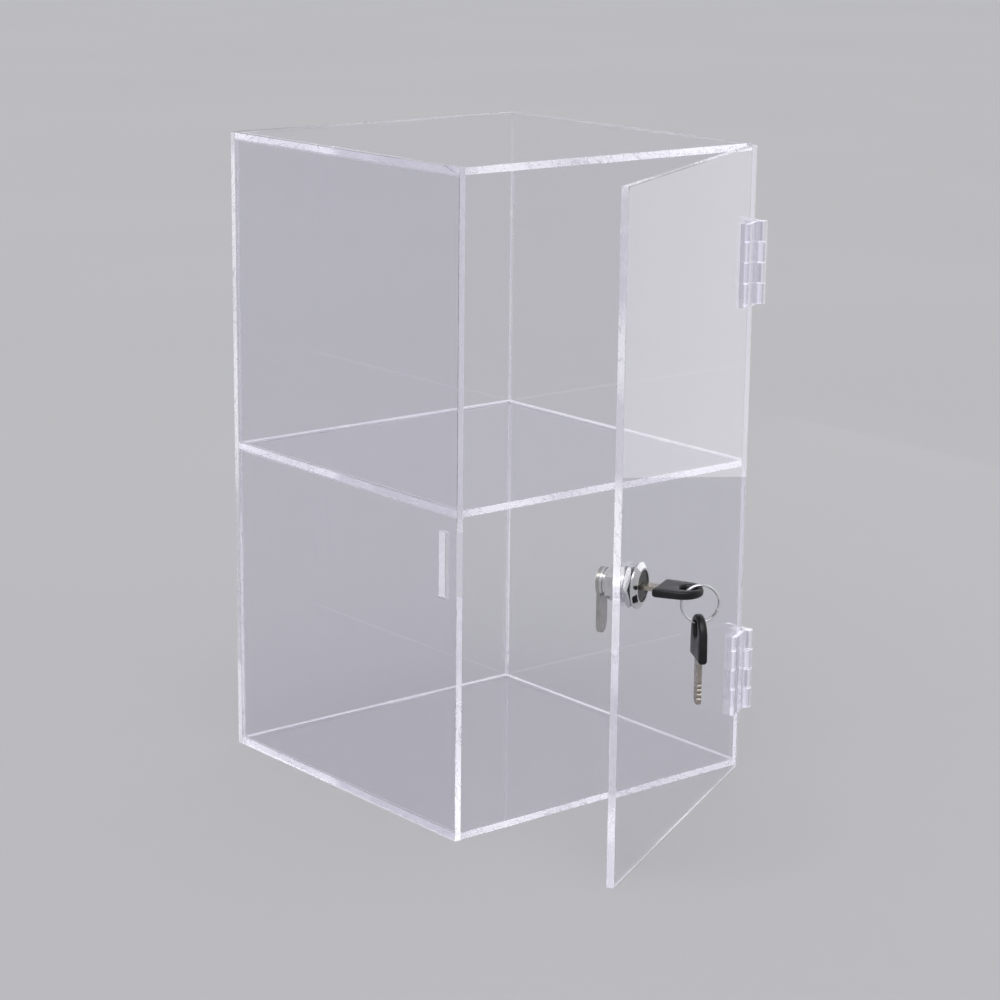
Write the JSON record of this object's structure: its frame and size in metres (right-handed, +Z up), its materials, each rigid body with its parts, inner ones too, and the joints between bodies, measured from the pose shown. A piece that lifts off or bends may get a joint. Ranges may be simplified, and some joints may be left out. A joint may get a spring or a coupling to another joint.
{
  "type": "lockable display box",
  "caption": "Clear acrylic box with an upper and a lower level, a front door on butt hinges, a cam lock whose arm bolts through a slot in the side wall, and its keys on a split ring.",
  "frame": {"origin": "middle of the case's footprint, on the surface it stands on", "axes": "+Z up, -Y out of the front door, +X towards the hinges"},
  "size_m": [0.2047, 0.3325, 0.35],
  "materials": {
    "acrylic": "clear, polished",
    "chrome": "polished",
    "dark_metal": "satin black",
    "nickel": "satin nickel",
    "black_plastic": "satin"
  },
  "bodies": {
    "case": {"back_wall": "acrylic", "left_wall": "acrylic", "right_wall": "acrylic", "top_panel": "acrylic", "bottom_panel": "acrylic", "shelf": "acrylic", "lower_wall_leaf": "acrylic", "upper_wall_leaf": "acrylic", "lower_hinge_pin": "acrylic", "upper_hinge_pin": "acrylic"},
    "door": {"door_panel": "acrylic", "lower_door_leaf": "acrylic", "upper_door_leaf": "acrylic", "lock_housing": "chrome", "front_nut": "chrome", "nut_washer": "chrome", "clamping_nut": "chrome", "driver_pins": "nickel", "driver_springs": "chrome"},
    "plug": {"lock_plug": "dark_metal", "key_pins": "nickel", "stop_washer": "chrome", "lock_cam": "chrome", "screw_washer": "chrome", "cam_screw": "chrome"},
    "key": {"key_blade": "nickel", "key_bow": "black_plastic"},
    "ring": {"split_ring": "chrome"},
    "spare_key": {"spare_blade": "nickel", "spare_bow": "black_plastic"}
  },
  "joints": [
    {"name": "door_hinge", "type": "hinge", "parent": "case", "child": "door", "pos_m": [0.1016, -0.1074, 0.175], "axis": [0, 0, 1], "range_deg": [-28, 152]},
    {"name": "lock_turn", "type": "hinge", "parent": "door", "child": "plug", "pos_m": [-0.06638, -0.1932, 0.154], "axis": [-0.4695, 0.8829, 0], "range_deg": [0, 90]},
    {"name": "key_pull", "type": "slide", "parent": "plug", "child": "key", "axis": [0.4695, -0.8829, 0], "range_m": [0, 0.017]},
    {"name": "ring_swing", "type": "hinge", "parent": "key", "child": "ring", "pos_m": [-0.04713, -0.22285, 0.154], "axis": [-0.515, -0.8572, 0], "range_deg": [-10, 80]},
    {"name": "spare_swing", "type": "hinge", "parent": "ring", "child": "spare_key", "pos_m": [-0.04713, -0.22285, 0.1383], "axis": [0.8572, -0.515, 0], "range_deg": [-40, 40]}
  ]
}
